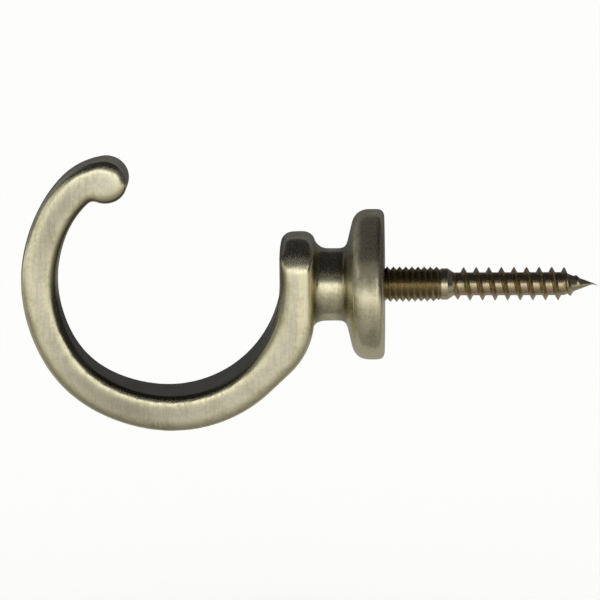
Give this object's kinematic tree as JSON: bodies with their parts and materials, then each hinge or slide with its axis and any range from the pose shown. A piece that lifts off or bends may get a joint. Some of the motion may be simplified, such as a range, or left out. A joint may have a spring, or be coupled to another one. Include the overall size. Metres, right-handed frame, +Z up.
{
  "type": "curtain tieback hook",
  "caption": "Open round wall hook with a ball end, a waisted stem and a round rosette, on a hanger bolt that screws into the wall.",
  "frame": {"origin": "centre of the rosette's back face, on the bolt's axis, where the hook meets the wall", "axes": "+X along the bolt into the wall, -X out to the hook, +Z up, towards the hook's open side; +Y follows from the two"},
  "size_m": [0.0751, 0.0196, 0.0359],
  "materials": {
    "antique_brass": "brushed antique brass plating",
    "passivated_steel": "yellow passivated zinc plating"
  },
  "bodies": {
    "root": {"hook_body": "antique_brass", "hanger_bolt": "passivated_steel"}
  },
  "joints": []
}
